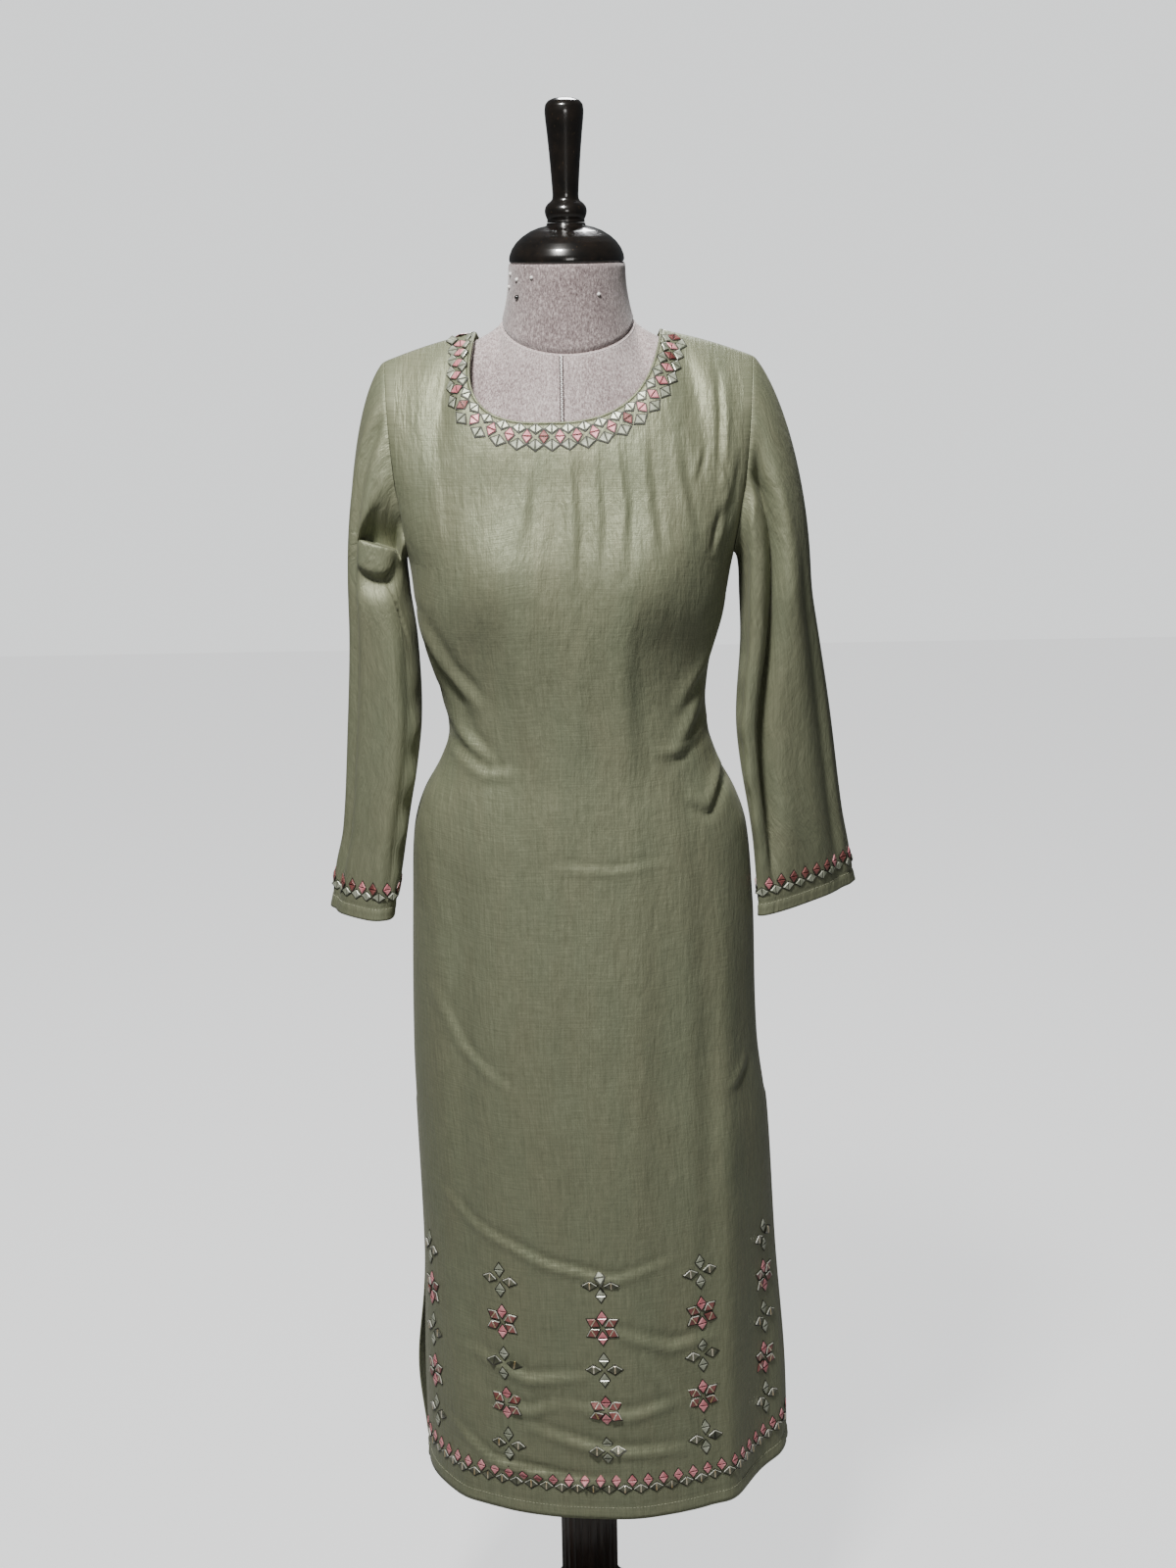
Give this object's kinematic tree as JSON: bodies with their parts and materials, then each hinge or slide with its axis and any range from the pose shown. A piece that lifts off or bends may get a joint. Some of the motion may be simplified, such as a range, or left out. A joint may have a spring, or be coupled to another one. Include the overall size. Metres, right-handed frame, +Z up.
{
  "type": "long embroidered tunic (kurta) on a dress form",
  "caption": "Calf-length, long-sleeved silk-look tunic with beaded neck, cuffs and hem and star motifs on the skirt, worn by a limbless dress form with a turned neck cap on a fluted wooden column.",
  "frame": {"origin": "middle of the foot block's flat underside, on the floor", "axes": "+Z up along the column, -Y is the front of the garment, +X to the viewer's right when looking at the front"},
  "size_m": [0.543, 0.4356, 1.654],
  "materials": {
    "cloth": "sage green silk-like cloth with a soft shot sheen and a fine slub",
    "jersey": "heathered pinkish grey knitted jersey",
    "lacquer": "glossy black lacquer with fine bronze flecks",
    "dark_wood": "very dark brown stained wood, satin",
    "bead_pink": "rose pink satin beads, brighter along their upper edges",
    "bead_silver": "silvery green mirror-like beads",
    "bead_metal": "pale gold and white metallic bars in the middle of the beads",
    "thread": "sewing thread a little paler than the cloth; white on the form",
    "pin": "small glossy pin heads, white and black",
    "bead_dark": "dark green mirror-like beads of the skirt motifs and hem, with bright upper edges",
    "bead_maroon": "deep rose beads that mirror the dark side of a room"
  },
  "bodies": {
    "root": {"front_panel": "cloth", "back_panel": "cloth", "sleeve_left": "cloth", "sleeve_right": "cloth", "neck_binding": "cloth", "form_torso": "jersey", "form_neck": "jersey", "neck_cap": "lacquer", "cap_handle": "lacquer", "stand_column": "dark_wood", "foot_block": "dark_wood", "stand_leg_1": "dark_wood", "stand_leg_2": "dark_wood", "stand_leg_3": "dark_wood"}
  },
  "joints": []
}
